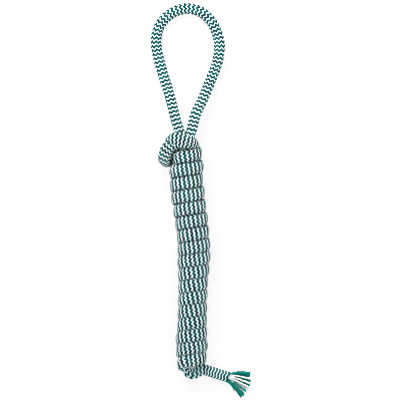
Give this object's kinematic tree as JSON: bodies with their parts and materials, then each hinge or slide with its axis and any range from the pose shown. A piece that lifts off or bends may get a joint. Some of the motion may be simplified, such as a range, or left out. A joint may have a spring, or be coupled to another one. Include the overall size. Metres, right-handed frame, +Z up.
{
  "type": "rope tug toy",
  "caption": "Braided rope tug toy for dogs: hand loop, grip wound round the loop's own two legs, hitch at the top and a short tail with an unravelled end.",
  "frame": {"origin": "middle of the flat rest face under the grip's middle turn", "axes": "+Y along the toy towards the hand loop, +X to the side on which the tail leaves the foot, +Z up from the floor"},
  "size_m": [0.1155, 0.4533, 0.0341],
  "materials": {
    "braided_rope": "matte",
    "filler_yarn": "matte",
    "teal_yarn": "matte",
    "white_yarn": "matte"
  },
  "bodies": {
    "grip": {"grip_winding": "braided_rope", "core_strand_left": "braided_rope", "core_strand_right": "braided_rope", "hitch_turn": "braided_rope", "tuck_bight": "braided_rope", "foot_bight": "braided_rope", "tail_curl": "braided_rope", "neck_left": "braided_rope", "neck_right": "braided_rope", "tail_bend": "braided_rope"},
    "loop": {"hand_loop": "braided_rope"},
    "tail": {"tail_sheath": "braided_rope", "tail_filler": "filler_yarn", "tassel_root": "filler_yarn"},
    "tassel": {"yarn_teal_1": "teal_yarn", "yarn_teal_2": "teal_yarn", "yarn_teal_3": "teal_yarn", "yarn_teal_4": "teal_yarn", "yarn_teal_5": "teal_yarn", "yarn_teal_6": "teal_yarn", "yarn_teal_7": "teal_yarn", "yarn_teal_8": "teal_yarn", "yarn_white_1": "white_yarn", "yarn_white_2": "white_yarn", "yarn_white_3": "white_yarn", "yarn_white_4": "white_yarn", "yarn_white_5": "white_yarn"}
  },
  "joints": [
    {"name": "loop_flop", "type": "hinge", "parent": "grip", "child": "loop", "pos_m": [-0.0095, 0.148, 0.0157], "axis": [1, 0, 0], "range_deg": [-90, 90], "deforming": ["neck_left", "neck_right"]},
    {"name": "tail_swing", "type": "hinge", "parent": "grip", "child": "tail", "pos_m": [0.01779, -0.13743, 0.0048], "axis": [0, 0, 1], "range_deg": [-30, 30], "deforming": ["tail_bend"]},
    {"name": "tassel_flop", "type": "hinge", "parent": "tail", "child": "tassel", "pos_m": [0.04245, -0.14535, 0.0048], "axis": [-0.3057, -0.9521, 0], "range_deg": [-60, 60], "deforming": ["tassel_root"]}
  ]
}
